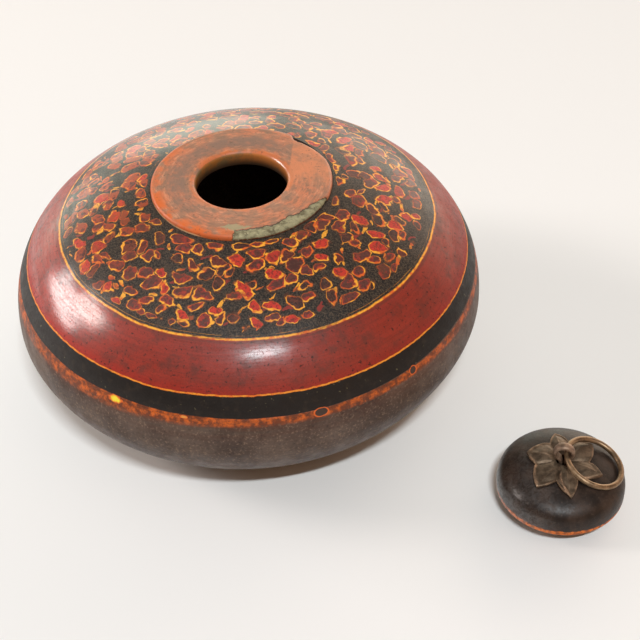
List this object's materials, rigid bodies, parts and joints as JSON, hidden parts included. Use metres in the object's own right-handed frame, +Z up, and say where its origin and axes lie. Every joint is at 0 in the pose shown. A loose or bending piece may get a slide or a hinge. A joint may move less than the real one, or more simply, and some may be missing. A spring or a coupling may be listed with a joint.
{
  "type": "round lidded box",
  "caption": "Round lacquered wooden box with a small mouth in a collar, and its knob lid with rosette and pull ring standing beside it.",
  "frame": {"origin": "centre of the box's flat base, on the surface it stands on", "axes": "+Z up along the box's axis; +X to the right in the picture, +Y away from its camera"},
  "size_m": [0.2806, 0.2616, 0.112],
  "materials": {
    "bowl_lacquer": "dark brown lacquer on turned wood, rubbed satin",
    "dome_lacquer": "red, black and yellow lacquer worked on a lathe, glossy and worn",
    "collar_lacquer": "worn orange-red lacquer, flaked to a grey core on one edge",
    "lid_lacquer": "near black lacquer, satin, rubbed to orange on the rim",
    "dark_bronze": "dark patinated sheet and strap",
    "ring_brass": "brown patinated wire, rubbed bright on its high sides"
  },
  "bodies": {
    "box": {"lower_bowl": "bowl_lacquer", "upper_shell": "dome_lacquer", "collar_ring": "collar_lacquer"},
    "lid": {"lid": "lid_lacquer", "rosette": "dark_bronze", "split_pin": "dark_bronze"},
    "ring": {"pull_ring": "ring_brass"}
  },
  "joints": [
    {"name": "lid_lift", "type": "slide", "parent": "box", "child": "lid", "axis": [0, 0, 1], "range_m": [0, 0.15]},
    {"name": "ring_swing", "type": "hinge", "parent": "lid", "child": "ring", "pos_m": [0.13608, -0.11705, 0.0314], "axis": [-0.2419, -0.9703, 0], "range_deg": [0, 217]}
  ]
}
